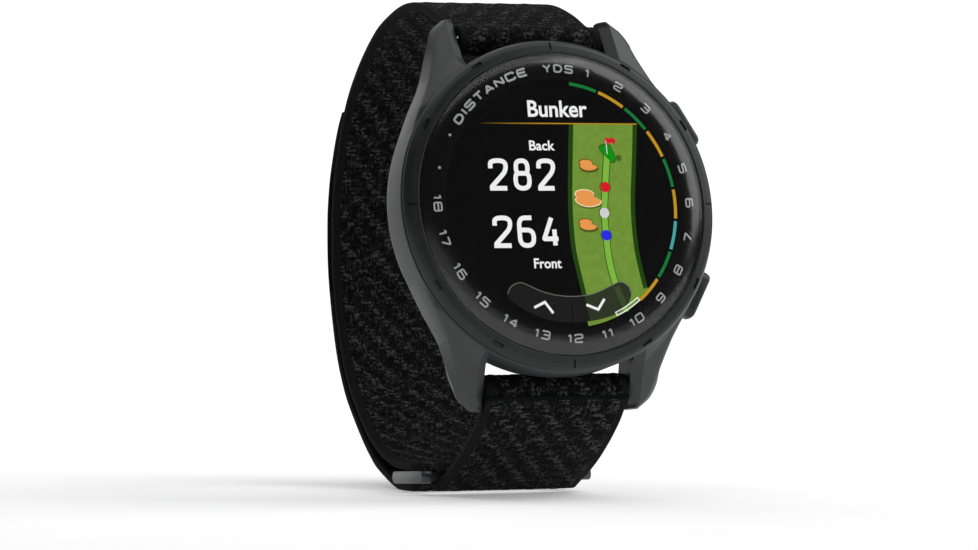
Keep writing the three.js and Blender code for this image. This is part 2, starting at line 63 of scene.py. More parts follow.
back_mount = next(m for m in frame["record"]["mounts"] if m["name"] == "case_back")
NORMAL = -Vector(back_mount["axis"])
ACROSS = Vector((1, 0, 0))
UPWARD = NORMAL.cross(ACROSS)
FACE = Vector(back_mount["pos_m"]) / MM + NORMAL * BACK_DEPTH
HEAD_AXES = np.array([ACROSS, UPWARD, NORMAL])

CASE_RADIUS = 21.5
LENS_RADIUS = 19.6
LENS_CROWN = 0.9
GLASS_THICKNESS = 0.3
DIAL_RADIUS = 17.5  # the circle that the printed numbers stand on
BORDER_RADIUS = 16.25  # inside it the display shows
LUG_GAP = 10.2
BAR_ACROSS = 22.8
BAR_HEIGHT = -7.6
STRAP_ROOM = 2.35  # cut out of the case round each spring bar
BUTTON_ANGLE = 30
BUTTON_LEVEL = -4.2

STRAP_WIDTH = 19.9
STRAP_THICKNESS = 1.2
EYE_BORE = 0.95
END_PITCH = 0.8727  # between the yarns that run along the strap: 22 of them across it
PICK_PITCH = 1.1  # between the yarns that run across it
RING_FRONT = (18.6, -35.5)
RING_REAR = (27.3, -35.95)
RING_EYE_BORE = 0.75

# ------ mesh helpers


def head_place(points):
    return points @ HEAD_AXES + np.array(FACE)


def loop_place(points):
    return points + np.array(FACE)


def face_outwards(mesh):
    shell = bmesh.new()
    shell.from_mesh(mesh)
    bmesh.ops.recalc_face_normals(shell, faces=shell.faces)
    shell.to_mesh(mesh)
    shell.free()


def linked(name, data):
    """A new object in the scene."""
    obj = bpy.data.objects.new(name, data)
    bpy.context.scene.collection.objects.link(obj)
    return obj


def loose(name, points, faces, place=head_place):
    """A mesh object in metres from points in millimetres, with no finish and no body yet."""
    mesh = bpy.data.meshes.new(name)
    mesh.from_pydata(place(np.asarray(points, float)) * MM, [], [tuple(map(int, f)) for f in faces])
    face_outwards(mesh)
    return linked(name, mesh)


def piece(name, points, faces, material, slot, body="watch", place=head_place, smooth=True):
    """A finished piece. A body of None leaves it riding on nothing yet."""
    obj = loose(name, points, faces, place)
    obj.data.materials.append(material)
    if smooth:
        obj.data.shade_smooth()
        obj.data.set_sharp_from_angle(angle=math.radians(32))
    if body:
        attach(obj, body)
    return obj


def evaluated(obj):
    """A new mesh of an object as its modifiers leave it."""
    bpy.context.view_layer.update()
    return bpy.data.meshes.new_from_object(obj.evaluated_get(bpy.context.evaluated_depsgraph_get()))


def stacked(*coordinates):
    """Arrays of single coordinates as one array of points."""
    return np.stack(np.broadcast_arrays(*coordinates), -1)


def grid_faces(rows, columns, close_rows=False):
    """Quads between closed loops of points, stored loop by loop."""
    i = np.arange(rows if close_rows else rows - 1)[:, None]
    j = np.arange(columns)
    k, m = (i + 1) % rows, (j + 1) % columns
    quads = stacked(i * columns + j, i * columns + m, k * columns + m, k * columns + j)
    return quads.reshape(-1, 4)


def capped(rows, columns):
    """The faces of a tube made of closed loops of points, with one face over each end."""
    last = (rows - 1) * columns
    ends = [tuple(range(columns)), tuple(range(last, last + columns))]
    return [tuple(f) for f in grid_faces(rows, columns)] + ends


def extruded(outline, half):
    """An outline seen from the side, made solid across the watch."""
    points = [np.column_stack([np.full(len(outline), x), outline]) for x in (-half, half)]
    return np.vstack(points), capped(2, len(outline))


def turned(profile, angles, filled=False):
    """A turned body from [radius, height] pairs: a closed ring, or one with flat faces over its middle."""
    radius, height = np.asarray(profile, float).T[..., None]
    points = stacked(radius * np.cos(angles), radius * np.sin(angles), height).reshape(-1, 3)
    size = (len(radius), len(angles))
    return points, capped(*size) if filled else grid_faces(*size, close_rows=True)


def even_angles(sides):
    return np.arange(sides) * 2 * math.pi / sides


def arc(centre, radius, start, stop, steps):
    """Points on an arc between two angles in degrees."""
    angles = np.radians(np.linspace(start, stop, steps + 1))
    return stacked(centre[0] + radius * np.cos(angles), centre[1] + radius * np.sin(angles))


def soften(points, reach, steps=3, closed=True):
    """Rounds each corner of an outline, starting the curve at most `reach` before and after it."""
    points = np.asarray(points, float)
    count = len(points)
    reaches = np.broadcast_to(reach, count)
    out = []
    for i in range(count):
        here = points[i]
        if reaches[i] == 0 or not closed and i in (0, count - 1):
            out.append(here)
            continue
        before, after = points[i - 1] - here, points[(i + 1) % count] - here
        a = here + before * min(0.49, reaches[i] / max(np.linalg.norm(before), 1e-9))
        b = here + after * min(0.49, reaches[i] / max(np.linalg.norm(after), 1e-9))
        for t in np.linspace(0, 1, steps + 1):
            out.append((1 - t) ** 2 * a + 2 * t * (1 - t) * here + t * t * b)
    return np.array(out)


def curve_through(points, steps):
    """Points on the smooth curve between each middle pair of every four neighbours."""
    out = []
    for p0, p1, p2, p3 in zip(points, points[1:], points[2:], points[3:]):
        for t in np.linspace(0, 1, steps, endpoint=False):
            bend = (2 * p0 - 5 * p1 + 4 * p2 - p3) * t * t
            twist = (3 * p1 - p0 - 3 * p2 + p3) * t ** 3
            out.append(0.5 * (2 * p1 + (p2 - p0) * t + bend + twist))
    return np.array(out)


def smooth_curve(pairs, spacing):
    """Even points on a smooth curve through the given ones."""
    points = np.asarray(pairs, float)
    ends = np.vstack([2 * points[0] - points[1], points, 2 * points[-1] - points[-2]])
    return evenly(np.vstack([curve_through(ends, 24), points[-1]]), spacing)


def evenly(path, spacing):
    """The same path with points a fixed distance apart."""
    lengths = np.concatenate([[0], np.cumsum(np.linalg.norm(np.diff(path, axis=0), axis=1))])
    at = np.linspace(0, lengths[-1], max(int(round(lengths[-1] / spacing)), 2) + 1)
    return stacked(*[np.interp(at, lengths, column) for column in path.T])


def unit(vectors):
    return vectors / np.maximum(np.linalg.norm(vectors, axis=1), 1e-6)[:, None]


def left_of(path):
    """Unit vectors to the left of a path's direction."""
    along = unit(np.gradient(path, axis=0))
    return stacked(-along[:, 1], along[:, 0])


# ------ materials

BLACK = (0, 0, 0, 1)
WHITE = (1, 1, 1, 1)


def linear(hex_colour):
    """A screen colour such as "#2b2c2e" as the linear numbers that shaders take."""
    parts = [int(hex_colour[i:i + 2], 16) / 255 for i in (1, 3, 5)]
    return tuple(c / 12.92 if c <= 0.04045 else ((c + 0.055) / 1.055) ** 2.4 for c in parts) + (1.0,)


class Look:
    """The nodes of a material or of the world. Most methods add a node and return its output."""

    def __init__(self, owner, shader="Principled BSDF"):
        owner.use_nodes = True
        self.owner = owner
        self.tree = owner.node_tree
        self.shader = self.tree.nodes[shader]

    def put(self, socket, value):
        """Gives a socket a constant, or links another node's output to it."""
        if isinstance(value, bpy.types.NodeSocket):
            self.tree.links.new(value, socket)
        else:
            socket.default_value = value

    def fill(self, node, **sockets):
        """Gives a node's inputs their values by name, with _ for each space."""
        for name, value in sockets.items():
            self.put(node.inputs[name.replace("_", " ")], value)

    def node(self, kind, **sockets):
        node = self.tree.nodes.new("ShaderNode" + kind)
        self.fill(node, **sockets)
        return node

    def add(self, kind, output, **sockets):
        return self.node(kind, **sockets).outputs[output]

    def parts(self, vector):
        return self.node("SeparateXYZ", Vector=vector).outputs

    def do(self, operation, *values):
        """One arithmetic node; each value is a number or another node's output."""
        node = self.node("Math")
        node.operation = operation
        for socket, value in zip(node.inputs, values):
            self.put(socket, value)
        return node.outputs["Value"]

    def mix(self, factor, first, second):
        """A colour between two others."""
        node = self.node("Mix")
        node.data_type = "RGBA"
        self.fill(node, Factor=factor, A=first, B=second)
        return node.outputs["Result"]

    def noise(self, size, detail=4.0, stretch=(1, 1, 1)):
        """3-D noise whose features are about `size` millimetres, in the object's own coordinates."""
        place = self.add("Mapping", "Vector", Vector=self.add("TexCoord", "Object"), Scale=stretch)
        return self.add("TexNoise", "Fac", Vector=place, Scale=1 / (size * MM), Detail=detail)

    def spread(self, source, low, high):
        """Maps noise, which lies about 0.3 to 0.7, to a range."""
        limits = {"From_Min": 0.3, "From_Max": 0.7, "To_Min": low, "To_Max": high}
        return self.add("MapRange", "Result", Value=source, **limits)

    def bump(self, height, depth):
        return self.add("Bump", "Normal", Height=height, Distance=depth * MM, Strength=1.0)


def material(name):
    return Look(bpy.data.materials.new(name))


def grained(name, dark, light, roughness, metallic=0.0, grain=0.25, depth=0.01, stretch=(1, 1, 1), **fixed):
    """A solid finish whose colour, roughness and fine relief vary with noise."""
    look = material(name)
    fine, broad = look.noise(grain, 6.0, stretch), look.noise(grain * 30, 2.0)
    look.fill(
        look.shader,
        Metallic=metallic,
        Base_Color=look.mix(look.spread(broad, 0, 1), linear(dark), linear(light)),
        Roughness=look.spread(fine, roughness - 0.06, roughness + 0.06),
        Normal=look.bump(fine, depth),
        **fixed,
    )
    return look.owner


def lit(name, colour, strength=1.0, dim=None, patch=0.12, detail=1.0):
    """A lit part of the display, uneven in patches that are small, as its pixels are, unless given."""
    look = material(name)
    low = linear(dim) if dim else tuple(c * 0.93 for c in linear(colour)[:3]) + (1.0,)
    uneven = look.spread(look.noise(patch, detail), 0, 1)
    return glowing(look, look.mix(uneven, low, linear(colour)), strength)


def glowing(look, colour, strength=1.0):
    """Makes a look shine by itself and reflect nothing."""
    look.fill(look.shader, Base_Color=BLACK, Specular_IOR_Level=0)
    look.fill(look.shader, Emission_Color=colour, Emission_Strength=strength)
    return look.owner


def lit_rule(name, colour):
    """A lit line that fades in from its left end."""
    look = material(name)
    across = look.parts(look.add("TexCoord", "Object"))["X"]
    fade = look.add("MapRange", "Result", Value=across, From_Min=-10.8 * MM, From_Max=-2.0 * MM)
    return glowing(look, look.mix(fade, BLACK, linear(colour)))


def clear_glass(name):
    """Glass over the print: it mirrors a little head on and more at a slant, and lets the rest through."""
    look = material(name)
    look.tree.nodes.remove(look.shader)
    slant = look.do("POWER", look.add("LayerWeight", "Facing", Blend=0.5), 5.0)
    share = look.add("MapRange", "Result", Value=slant, To_Min=0.035, To_Max=1.0)
    mix = look.node("MixShader")
    through = look.add("BsdfTransparent", "BSDF")
    mirror = look.add("BsdfAnisotropic", "BSDF", Roughness=0.2)
    for socket, value in zip(mix.inputs, (share, through, mirror)):
        look.put(socket, value)
    look.fill(look.tree.nodes["Material Output"], Surface=mix.outputs["Shader"])
    return look.owner


def woven(name):
    """Black nylon in a two-over, two-under twill, with painted sheen: its colour is painted lighter along
    the crests of the crosswise yarns, which catch the light, and only faintly along the lengthwise ones,
    which do not.

    The attribute "cloth" gives each point's place across and along the cloth in millimetres, and how far it
    lies in the smooth edge.
    """
    look = material(name)
    do = look.do

    def plus(first, second):
        return do("ADD", first, second)

    def times(first, second):
        return do("MULTIPLY", first, second)

    def minus(first, second):
        return do("SUBTRACT", first, second)

    def whole(place, pitch):
        """How many whole pitches fit before a place."""
        return do("FLOOR", do("DIVIDE", place, pitch))

    def chance(first, second):
        pair = look.add("CombineXYZ", "Vector", X=first, Y=second)
        return look.add("TexWhiteNoise", "Value", Vector=pair)

    def wave(place, pitch):
        """Rises from 0 to 1 and falls again, twice in each pitch."""
        return do("ABSOLUTE", do("SINE", times(place, 2 * math.pi / pitch)))

    cloth = look.node("Attribute")
    cloth.attribute_name = "cloth"
    across, along, rim = look.parts(cloth.outputs["Vector"])
    fibres = look.noise(0.3, 5.0)
    along = plus(along, times(look.noise(0.9, 2.0), 0.9))
    across = plus(across, times(fibres, 0.7))
    end = whole(across, END_PITCH)
    step = minus(end, whole(along, PICK_PITCH))
    yarn = whole(along, PICK_PITCH / 2)
    group = whole(step, 4.0)
    phase = minus(step, times(group, 4.0))
    share = times(minus(plus(phase, do("FRACT", do("DIVIDE", across, END_PITCH))), 2.0), 0.5)
    swell = do("POWER", do("MAXIMUM", do("SINE", times(share, math.pi)), 0.0), 0.8)
    crosswise = times(do("GREATER_THAN", share, 0.0), times(swell, wave(along, PICK_PITCH)))
    bright = plus(times(chance(group, yarn), 1.1), 0.3)
    ribs = wave(across, END_PITCH)
    lengthwise = times(times(ribs, 0.38), chance(end, yarn))
    height = do("MAXIMUM", crosswise, times(ribs, 0.4))
    strands = do("MAXIMUM", look.spread(look.noise(0.42, 5.0), -1.6, 3.2), 0.06)
    # Painted sheen: each yarn's crest is painted lighter, with strength varied at random from yarn to yarn
    # and strand to strand; the smooth edge gets one even tone.
    sheen_and_fleck = times(do("MAXIMUM", times(crosswise, bright), lengthwise), strands)
    inner = minus(1.0, rim)
    sheen_and_fleck = plus(times(sheen_and_fleck, inner), times(rim, 0.12))
    relief = times(plus(height, times(fibres, 0.5)), inner)
    # The base colour runs from near black to grey with the painted sheen and flecks.
    look.fill(
        look.shader,
        Base_Color=look.mix(sheen_and_fleck, linear("#060606"), linear("#434344")),
        Roughness=look.spread(fibres, 0.68, 0.86),
        Normal=look.bump(relief, 0.16),
        Specular_IOR_Level=0.05,
    )
    return look.owner


FLAT_BLACK = {"grain": 0.4, "depth": 0.001, "Specular_IOR_Level": 0.0}

RESIN = grained("case_resin", "#303132", "#343536", 0.46, grain=0.12, depth=0.005)
BEZEL = grained("bezel_metal", "#232425", "#282929", 0.4, 0.45, grain=0.06, depth=0.0015)
GLASS = clear_glass("lens_glass")
PRINT_BLACK = grained("print_black", "#090909", "#0b0b0b", 0.6, **FLAT_BLACK)
SCREEN_BLACK = grained("screen_black", "#010101", "#020202", 0.6, **FLAT_BLACK)
PRINT_GREY = grained("print_grey", "#b4b5b6", "#bebfc0", 0.55, 0.0, 0.2, 0.001, Specular_IOR_Level=0.1)
WEAVE = woven("woven_nylon")
THREAD = grained("seam_thread", "#0a100a", "#0e160e", 0.9, grain=0.08, depth=0.02, Specular_IOR_Level=0.05)
RING_FINISH = grained("ring_coating", "#48494a", "#545557", 0.36, 0.6, grain=0.1, depth=0.002)
STEEL = grained("bright_steel", "#a9aaad", "#c3c4c6", 0.28, 1.0, 0.05, 0.002, stretch=(0.1, 1, 1))
GOLD = grained("gold_plate", "#c99f4a", "#dab765", 0.25, 1.0, grain=0.05, depth=0.001)
MOULDED = grained("moulded_black", "#1b1b1d", "#232325", 0.55, grain=0.15, depth=0.01)
RUBBER = grained("black_rubber", "#121213", "#19191a", 0.8, grain=0.2, depth=0.01)
BOARD = grained("solder_mask", "#0f3f28", "#17543a", 0.4, grain=0.3, depth=0.01)
FOIL = grained("battery_foil", "#85878a", "#a3a5a8", 0.4, 0.8, grain=0.6, depth=0.02)
HOOKS = grained("hook_tape", "#101011", "#232325", 0.9, grain=0.12, depth=0.15)
SENSOR = grained("sensor_glass", "#070708", "#0c0c0e", 0.08, grain=0.5, depth=0.0005, Coat_Weight=0.5)

# ------ bezel, lens and dial

ENGRAVED_EDGE = 0.03
HOURS = 12
CREST_RADIUS = 20.7
LENS_FLAT = 16.6  # the flat part of the lens's top
LENS_ROUNDING = 0.14


def hour_marks():
    """(angle, half width, inner radius, outer radius, depth) of each engraved mark on the bezel."""
    for hour in range(HOURS):
        angle = hour * 2 * math.pi / HOURS
        if hour % 3 == 0:
            yield angle, 0.09, 20.15, 21.1, 0.3
        else:
            yield angle, 0.72, 20.5, 20.92, 0.3


def turn_between(first, second):
    """The smaller angle between two directions."""
    return np.abs((first - second + math.pi) % (2 * math.pi) - math.pi)


def bezel():
    """The bezel ring, with columns of points placed at each mark so that its edges stay sharp."""
    outline = [
        (18.9, -1.4), (20.9, -1.4), (20.9, -1.15), (21.35, -1.15), (21.5, -1.02), (21.5, -0.86),
        (21.22, -0.42), (21.12, -0.26), (CREST_RADIUS, 0.0), (19.82, 0.2), (19.63, 0.1), (19.63, -0.95),
        (18.9, -0.95),
    ]
    profile = soften(outline, 0.06, 2)
    fine = [profile[0]]
    for here, there in zip(profile, np.vstack([profile[1:], profile[:1]])):
        steps = int(np.linalg.norm(there - here) // 0.09) if here[1] > -0.6 and here[0] > 19.9 else 0
        fine += [here + (there - here) * k / (steps + 1) for k in range(1, steps + 2)]
    profile = np.array(fine[:-1])
    angles = list(even_angles(240))
    for angle, half, *_ in hour_marks():
        angles = [a for a in angles if turn_between(a, angle) > (half + 0.12) / 20]
        edge = [half, half + ENGRAVED_EDGE]
        angles += [(angle + side * e / CREST_RADIUS) % (2 * math.pi) for side in (-1, 1) for e in edge]
        angles += [(angle + half / CREST_RADIUS * k) % (2 * math.pi) for k in (-0.5, 0, 0.5)]
    angles = np.sort(np.array(angles))
    points, faces = turned(profile, angles)
    radius = np.hypot(points[:, 0], points[:, 1])
    around = np.arctan2(points[:, 1], points[:, 0])
    for angle, half, inner, outer, depth in hour_marks():
        apart = turn_between(around, angle) * CREST_RADIUS
        sunk = (apart <= half + 1e-4) & (radius > inner) & (radius < outer) & (points[:, 2] > -0.6)
        points[sunk, 2] -= depth
    obj = piece("bezel", points, faces, BEZEL, "bezel_metal")
    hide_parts("bezel_ring")


def glass_height(radius):
    """The lens's top: flat in the middle and falling in a curve to its rim."""
    share = np.clip((radius - LENS_FLAT) / (LENS_RADIUS - LENS_FLAT), 0, 1)
    return LENS_CROWN - 0.78 * share ** 2.3


def lens_and_print():
    edge = LENS_RADIUS - LENS_ROUNDING
    radii = np.concatenate([[6, 12, 15.5], np.linspace(LENS_FLAT, edge, 18)])
    top = [(r, glass_height(r)) for r in radii]
    rim = arc((edge, top[-1][1] - LENS_ROUNDING), LENS_ROUNDING, 10, 70, 3)
    under = [(r, glass_height(r) - GLASS_THICKNESS) for r in radii]
    profile = np.vstack([under, rim, top[::-1]])
    lens = piece("lens", *turned(profile, even_angles(192), filled=True), GLASS, "lens_glass")
    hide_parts("cover_lens")
    radii = np.linspace(BORDER_RADIUS, LENS_RADIUS - 0.2, 16)
    face = [(r, glass_height(r) - GLASS_THICKNESS - 0.06) for r in radii]
    profile = np.vstack([(BORDER_RADIUS, -0.2), (LENS_RADIUS - 0.2, -0.2), face[::-1]])
    piece("dial_border", *turned(profile, even_angles(192)), PRINT_BLACK, "black_film")
    profile = [(BORDER_RADIUS, -0.3), (BORDER_RADIUS, -0.02)]
    piece("screen_panel", *turned(profile, even_angles(128), filled=True), SCREEN_BLACK, "screen")


# Strokes of each sign in a box one wide and one high. A stroke that ends where it starts is closed.
SIGNS = {
    "0": [[(0, 0), (1, 0), (1, 1), (0, 1), (0, 0)]],
    "1": [[(0.05, 0.74), (0.75, 1), (0.75, 0)]],
    "2": [[(0, 0.8), (0, 1), (1, 1), (1, 0.52), (0, 0.46), (0, 0), (1, 0)]],
    "3": [[(0, 1), (1, 1), (1, 0), (0, 0)], [(0.25, 0.52), (1, 0.52)]],
    "4": [[(0.72, 0), (0.72, 1), (0, 0.28), (1, 0.28)]],
    "5": [[(1, 1), (0, 1), (0, 0.56), (1, 0.56), (1, 0), (0, 0)]],
    "6": [[(0.92, 1), (0, 1), (0, 0), (1, 0), (1, 0.56), (0, 0.56)]],
    "7": [[(0, 1), (1, 1), (0.4, 0)]],
    "8": [[(0, 0), (1, 0), (1, 1), (0, 1), (0, 0)], [(0, 0.52), (1, 0.52)]],
    "9": [[(0.08, 0), (1, 0), (1, 1), (0, 1), (0, 0.44), (1, 0.44)]],
    "A": [[(0, 0), (0.5, 1), (1, 0)], [(0.2, 0.3), (0.8, 0.3)]],
    "C": [[(1, 0.72), (1, 1), (0, 1), (0, 0), (1, 0), (1, 0.28)]],
    "D": [[(0, 0), (0.72, 0), (1, 0.28), (1, 0.72), (0.72, 1), (0, 1), (0, 0)]],
    "E": [[(1, 1), (0, 1), (0, 0), (1, 0)], [(0, 0.5), (0.9, 0.5)]],
    "I": [[(0.5, 1), (0.5, 0)]],
    "N": [[(0, 0), (0, 1), (1, 0), (1, 1)]],
    "S": [[(1, 0.82), (1, 1), (0, 1), (0, 0.52), (1, 0.52), (1, 0), (0, 0), (0, 0.18)]],
    "T": [[(0, 1), (1, 1)], [(0.5, 1), (0.5, 0)]],
    "Y": [[(0, 1), (0.5, 0.5), (1, 1)], [(0.5, 0.5), (0.5, 0)]],
}
# The display's taller numbers have rounder corners: each point gives its place and how far it is rounded.
TALL_SIGNS = {
    "2": [
        [(0, 0.72, 0), (0, 1, 1.1), (1, 1, 1.1), (1, 0.63, 0.7), (0.02, 0.06, 0.1), (0.02, 0, 0), (1, 0, 0)],
    ],
    "4": [[(0.6, 1, 0), (0.02, 0.24, 0.1), (1, 0.24, 0)], [(0.76, 0.58, 0), (0.76, 0, 0)]],
    "6": [[(0.93, 1, 0), (0, 1, 1.0), (0, 0, 1.0), (1, 0, 1.0), (1, 0.56, 0.9), (0.1, 0.56, 0)]],
    "8": [
        [(0.5, 0.54, 0), (1, 0.54, 0.8), (1, 0, 1.0), (0, 0, 1.0), (0, 0.54, 0.8), (0.5, 0.54, 0)],
        [
            (0.5, 0.54, 0), (0.92, 0.54, 0.7), (0.92, 1, 0.9), (0.08, 1, 0.9), (0.08, 0.54, 0.7),
            (0.5, 0.54, 0),
        ],
    ],
}


class Layer:
    """Flat shapes of one material, gathered into one thin mesh that lies on the dial."""

    def __init__(self, level, thickness=0.012, domed=False):
        self.level = level
        self.thickness = thickness
        self.domed = domed
        self.step = 0.25 if domed else 4.0
        self.points = []
        self.faces = []

    def add(self, points, faces):
        start = sum(len(p) for p in self.points)
        self.points.append(np.asarray(points, float))
        self.faces += [tuple(int(i) + start for i in f) for f in faces]

    def doubled(self, flat):
        """The points of a flat shape, at its top and again at its underside."""
        return np.vstack([np.column_stack([flat, np.full(len(flat), z)]) for z in (self.thickness, 0)])

    def stroke(self, path, width, closed=False):
        """A line of even width, in steps short enough to follow the dome."""
        path = np.asarray(path, float)
        if closed:
            path = np.vstack([path, path[:1]])
        fine = [path[:1]]
        for here, there in zip(path, path[1:]):
            steps = max(int(np.ceil(np.linalg.norm(there - here) / self.step)), 1)
            fine.append(here + (there - here) * (np.arange(1, steps + 1) / steps)[:, None])
        path = np.vstack(fine)
        steps = unit(np.diff(path, axis=0))
        if closed:
            path = path[:-1]
            before, after = np.roll(steps, 1, 0), steps
        else:
            before, after = np.vstack([steps[:1], steps]), np.vstack([steps, steps[-1:]])
        middle = unit(before + after)
        miter = 1 / np.maximum((middle * after).sum(1), 0.5)
        side = stacked(-middle[:, 1], middle[:, 0]) * miter[:, None] * width / 2
        left, right = path + side, path - side
        section = np.stack([left, right, right, left], 1)
        height = np.array([1, 1, 0, 0]) * self.thickness
        points = stacked(section[..., 0], section[..., 1], height).reshape(-1, 3)
        self.add(points, grid_faces(len(path), 4, close_rows=True) if closed else capped(len(path), 4))

    def fill(self, outline):
        """A flat area inside an outline."""
        self.add(self.doubled(outline), capped(2, len(outline)))

    def sign(self, strokes, centre, size, width, turn=0.0, corner=0.3):
        """A number or letter, centred, of the given (width, height), turned about its centre."""
        c, s = math.cos(turn), math.sin(turn)
        for path in strokes:
            reach = [point[2] if len(point) > 2 else corner for point in path]
            path = (np.array(path)[:, :2] - 0.5) * (np.array(size) - width)
            closed = np.allclose(path[0], path[-1])
            last = len(path) - 1 if closed else len(path)
            rounded = soften(path[:last], reach[:last], 5, closed)
            rounded = rounded @ np.array([[c, s], [-s, c]]) + centre
            self.stroke(rounded, width, closed)

    def text(self, words, centre, height, width):
        """Words in a plain sans, scaled to a capital height and a total width."""
        curve = bpy.data.curves.new("words", "FONT")
        curve.body = words
        curve.offset = TEXT_WEIGHT
        curve.resolution_u = 3
        obj = linked("words", curve)
        mesh = evaluated(obj)
        flat = np.array([v.co for v in mesh.vertices])[:, :2]
        polygons = [tuple(p.vertices) for p in mesh.polygons]
        edges = {pair for p in polygons for pair in zip(p, p[1:] + p[:1])}
        bpy.data.objects.remove(obj)
        bpy.data.curves.remove(curve)
        bpy.data.meshes.remove(mesh)
        low, high = flat.min(0), flat.max(0)
        scale = np.array([width / (high[0] - low[0]), height / CAPITAL_HEIGHT])
        flat = (flat - [(low[0] + high[0]) / 2, CAPITAL_HEIGHT / 2]) * scale + centre
        count = len(flat)
        walls = [(a, a + count, b + count, b) for a, b in sorted(edges) if (b, a) not in edges]
        under = [tuple(i + count for i in p) for p in polygons]
        self.add(self.doubled(flat), polygons + under + walls)

    def finish(self, name, material, slot):
        points = np.vstack(self.points)
        base = glass_height(np.hypot(points[:, 0], points[:, 1])) if self.domed else 0.0
        points[:, 2] += base + self.level
        piece(name, points, self.faces, material, slot, smooth=False)


CAPITAL_HEIGHT = 0.729  # of the built-in font at size 1
TEXT_WEIGHT = 0.02  # how far its outlines are widened


def clockwise(degrees, radius):
    """A place on the dial, measured clockwise from 12."""
    angle = math.radians(degrees)
    return np.array([radius * math.sin(angle), radius * math.cos(angle)])


def dial_arc(start, stop, radius, steps=10):
    return np.array([clockwise(d, radius) for d in np.linspace(start, stop, steps)])


def printed_dial():
    """Hole numbers 1 to 18 round the display, two dots, and a plain legend in the place before them."""
    layer = Layer(-0.05, domed=True)
    height, gap = 1.16, 0.3

    def write(characters, degrees, widths, line, outward=True):
        """Characters spread about an angle, with their tops outwards or inwards."""
        total = sum(widths) + gap * (len(widths) - 1)
        offset = -total / 2
        for character, wide in zip(characters, widths):
            middle = offset + wide / 2
            offset += wide + gap
            at = degrees + math.degrees(middle / DIAL_RADIUS) * (1 if outward else -1)
            turn = -math.radians(at) + (0 if outward else math.pi)
            layer.sign(SIGNS[character], clockwise(at, DIAL_RADIUS), (wide, height), line, turn, 0.24)

    for hole in range(1, 19):
        digits = str(hole)
        write(digits, hole * 15, [0.66 if d == "1" else 1.24 for d in digits], 0.2, outward=hole < 7)
    for degrees in (285, 300):
        layer.fill(clockwise(degrees, DIAL_RADIUS) + arc((0, 0), 0.18, 0, 330, 11))
    write("DISTANCE", -33.5, [0.4 if c == "I" else 1.44 for c in "DISTANCE"], 0.27)
    write("YDS", 1.5, [1.2, 1.24, 1.2], 0.24)
    layer.finish("dial_numbers", PRINT_GREY, "black_film")


# ------ the lit display

LIT_COLOURS = {
    "amber": "#c3951f", "green": "#14783a", "cyan": "#44a9ab", "turf_edge": "#1d4506",
    "path_line": "#2f5a10", "path": "#80bc42", "putting_green": "#069408", "shade": "#4c641f",
    "sand": "#f19d50", "sand_rim": "#fbe6ba", "sand_edge": "#6b4a14", "red": "#d91826",
    "dot_white": "#d8d6da", "blue": "#2a29ee", "bar": "#191919", "bar_over_turf": "#2c3622",
    "bar_over_path": "#3a4a2a", "bar_line": "#6c706a",
}
LIT = {name: lit("lit_" + name, colour) for name, colour in LIT_COLOURS.items()}
LIT_WHITE = lit("lit_white", "#f6f6f6", 1.02)
RULE = lit_rule("lit_rule", "#b98a1c")
TURF = lit("lit_turf", "#76993b", dim="#6b8e31", patch=0.9, detail=5.0)

BUNKER = [
    (-1, 0.36), (-0.9, 0.76), (-0.46, 0.96), (0.1, 0.91), (0.48, 0.55), (0.44, 0.18), (0.56, 0.05),
    (1, -0.3), (0.85, -0.7), (0.29, -0.96), (-0.34, -0.91), (-0.81, -0.6), (-1, -0.15), (-0.88, 0.1),
]
GREEN = [
    (-1.11, 0.83), (-0.56, 1.2), (0.33, 1.14), (0.67, 0.62), (1.0, -0.31), (0.96, -1.0), (0.44, -1.12),
    (-0.11, -0.62), (-0.78, 0.1),
]
FLAG = [
    (0, 0.45), (0.5, 0.32), (0.95, 0.42), (1.42, 0.1), (1.2, -0.42), (0.8, -0.2), (0.35, -0.38), (0, -0.3),
]
MAP_LEFT = [
    (1.8, 10.47), (1.45, 7.16), (1.13, 3.85), (0.85, 0.54), (0.73, -2.76), (0.83, -6.07), (1.33, -9.38),
    (1.78, -11.87), (2.3, -15.7),
]
MAP_RIGHT = [
    (11.34, 10.47), (10.99, 7.16), (10.58, 3.85), (10.19, 0.54), (10.06, -2.76), (10.19, -6.07),
    (10.69, -9.38), (11.15, -11.55),
]
ROUTE = [
    (6.75, 6.3), (6.57, 5.1), (6.15, 2.2), (5.76, -1.17), (5.78, -4.07), (5.82, -6.28), (6.07, -8.35),
    (6.5, -10.2), (7.05, -12.0), (7.7, -14.0),
]
BUNKERS = [((4.01, 5.06), (1.25, 0.77)), ((3.62, 0.75), (1.79, 1.14)), ((3.33, -2.68), (1.25, 0.79))]
DOTS = {
    "near": ((6.15, 2.2), "red"),
    "middle": ((5.76, -1.17), "dot_white"),
    "far": ((5.78, -4.07), "blue"),
}
GREEN_PLACE = (6.85, 6.54)


def closed_curve(points, centre=(0, 0), size=(1, 1), grow=0.0):
    """A smooth closed outline, scaled about its centre and widened by `grow`."""
    points = np.array(points) * (np.array(size) + grow) + centre
    return curve_through(np.vstack([points[-1:], points, points[:2]]), 5)


def disc(centre, radius):
    return np.array(centre) + arc((0, 0), radius, 0, 345, 23)


def bunkers(grow, places=BUNKERS, shift=(0, 0)):
    return [closed_curve(BUNKER, np.array(centre) + shift, size, grow) for centre, size in places]


def show(name, level, material, strokes=(), fills=()):
    """A thin piece of the display: lines as (path, width), and filled outlines."""
    layer = Layer(level)
    for path, width in strokes:
        layer.stroke(path, width)
    for outline in fills:
        layer.fill(outline)
    layer.finish("screen_" + name, material, "screen")


